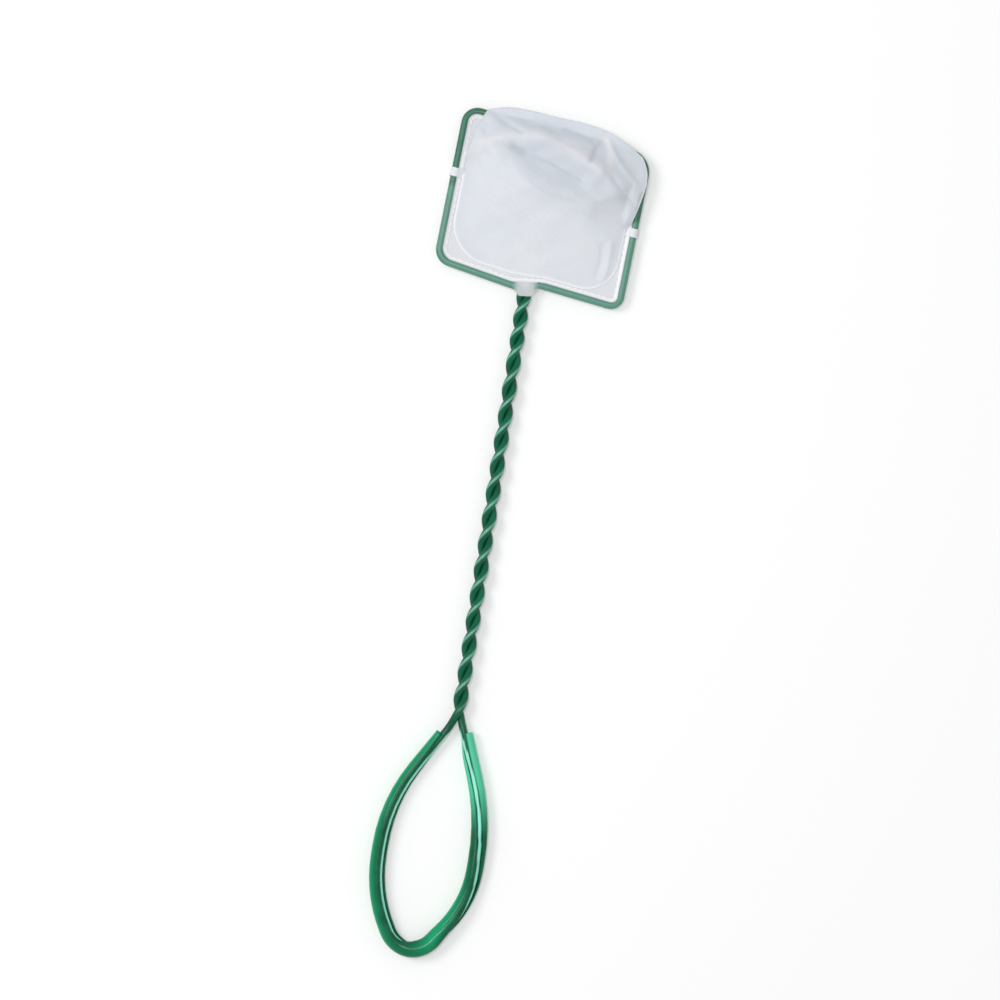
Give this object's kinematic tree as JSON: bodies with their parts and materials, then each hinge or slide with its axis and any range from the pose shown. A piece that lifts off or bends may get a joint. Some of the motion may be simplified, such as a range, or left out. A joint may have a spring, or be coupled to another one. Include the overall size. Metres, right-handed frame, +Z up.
{
  "type": "aquarium fish net",
  "caption": "Aquarium fish net: coated wire bent to a frame, twisted to a handle and looped to hang, with a slit grip sleeve and a folded bag of netting sewn on by its hem.",
  "frame": {"origin": "under the middle of the net, on the surface that it lies on", "axes": "+Y along the handle, from the hanging loop to the frame; +Z up, from the surface to the bag; +X to the right"},
  "size_m": [0.0806, 0.3441, 0.015],
  "materials": {
    "steel_wire": "drawn",
    "green_coat": "dipped, glossy",
    "green_sleeve": "soft, glossy",
    "hem_netting": "fine woven mesh, sewn",
    "seam_tape": "folded mesh, sewn",
    "bag_netting": "fine woven mesh, translucent"
  },
  "bodies": {
    "root": {"wire_core": "steel_wire", "wire_coating": "green_coat", "grip_sleeve": "green_sleeve", "hem_near": "hem_netting", "hem_far": "hem_netting", "side_seam_left": "seam_tape", "side_seam_right": "seam_tape", "bag_near_panel": "bag_netting", "bag_far_panel": "bag_netting"}
  },
  "joints": []
}
